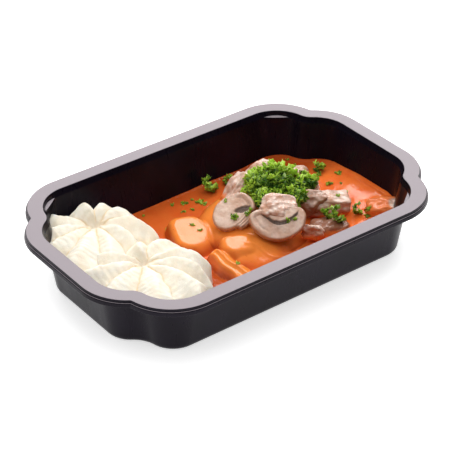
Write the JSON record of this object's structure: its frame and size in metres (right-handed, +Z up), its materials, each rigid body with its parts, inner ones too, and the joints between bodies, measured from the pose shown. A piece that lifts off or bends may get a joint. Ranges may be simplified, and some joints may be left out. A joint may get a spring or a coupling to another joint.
{
  "type": "ready meal in tray",
  "caption": "Ready meal in an open black plastic tray: piped potato mash rosettes beside a thick orange meat and mushroom stew, topped with chopped parsley.",
  "frame": {"origin": "middle of the box round the tray, on the surface that it rests on", "axes": "+X along the tray away from the mash, +Y across it to the far side, +Z up"},
  "size_m": [0.23, 0.1502, 0.0384],
  "materials": {
    "tray_plastic": "satin moulded black plastic",
    "mash": "moist, grainy",
    "sauce": "wet, glossy",
    "meat": "moist, fibrous",
    "mushroom": "moist, smooth",
    "parsley": "matt leaf"
  },
  "bodies": {
    "root": {"tray": "tray_plastic", "mash_rosette_far": "mash", "mash_rosette_near": "mash", "sauce": "sauce", "coated_chunk_left": "sauce", "coated_mound": "sauce", "coated_chunk_front": "sauce", "coated_strip": "sauce", "coated_chunk_near": "sauce", "meat_sliver": "meat", "meat_chunk_end": "meat", "meat_block": "meat", "meat_fold_right": "meat", "meat_strip_low": "meat", "meat_strip_high": "meat", "meat_back_right": "meat", "meat_fold_top": "meat", "mushroom_back": "mushroom", "mushroom_slice_left": "mushroom", "mushroom_slice_front": "mushroom", "parsley_heap": "parsley"}
  },
  "joints": []
}
